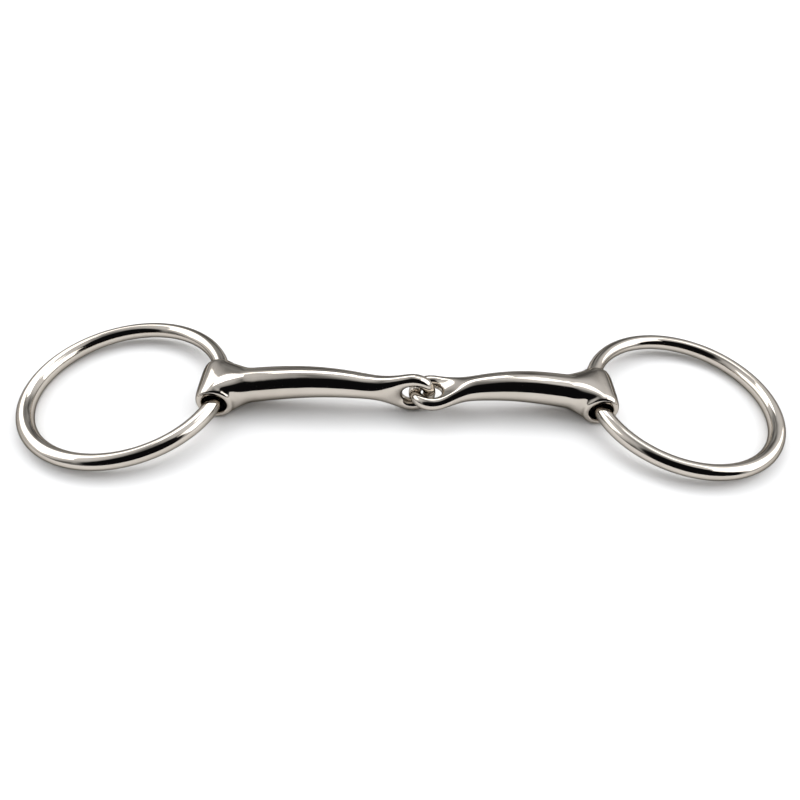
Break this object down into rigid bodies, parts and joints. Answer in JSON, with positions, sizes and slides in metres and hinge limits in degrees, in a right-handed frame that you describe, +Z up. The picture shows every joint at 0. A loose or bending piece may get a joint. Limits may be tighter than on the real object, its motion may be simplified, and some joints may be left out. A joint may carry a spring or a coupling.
{
  "type": "snaffle bit",
  "caption": "Single-jointed loose-ring snaffle bit: tapered curved cannons linked eye through eye, with round rings running through bored barrel ends.",
  "frame": {"origin": "on the surface the bit lies on, below the point halfway between the two bores; the centre joint is 4.5 mm towards +X and 1.9 mm towards -Y because the left cannon is the longer one and both bars curve that way", "axes": "+X along the mouthpiece from the left ring to the right ring, +Y parallel to both bore axes, +Z up from the surface, towards the convex side of the cannons"},
  "size_m": [0.2828, 0.075, 0.0168],
  "materials": {
    "left_cannon": "mirror-polished stainless steel",
    "right_cannon": "mirror-polished stainless steel",
    "left_ring": "mirror-polished stainless steel",
    "right_ring": "mirror-polished stainless steel"
  },
  "bodies": {
    "left_cannon": {"left_cannon": "left_cannon"},
    "right_cannon": {"right_cannon": "right_cannon"},
    "left_ring": {"left_ring": "left_ring"},
    "right_ring": {"right_ring": "right_ring"}
  },
  "joints": [
    {"name": "centre_fold", "type": "hinge", "parent": "left_cannon", "child": "right_cannon", "pos_m": [0.00185, -0.0019, 0.0084], "axis": [0, 1, 0], "range_deg": [-75, 75]},
    {"name": "left_ring_swing", "type": "hinge", "parent": "left_cannon", "child": "left_ring", "pos_m": [-0.07, 0, 0.00698], "axis": [0, 1, 0], "range_deg": [-95, 95]},
    {"name": "right_ring_swing", "type": "hinge", "parent": "right_cannon", "child": "right_ring", "pos_m": [0.07, 0, 0.00698], "axis": [0, 1, 0], "range_deg": [-95, 95]}
  ]
}
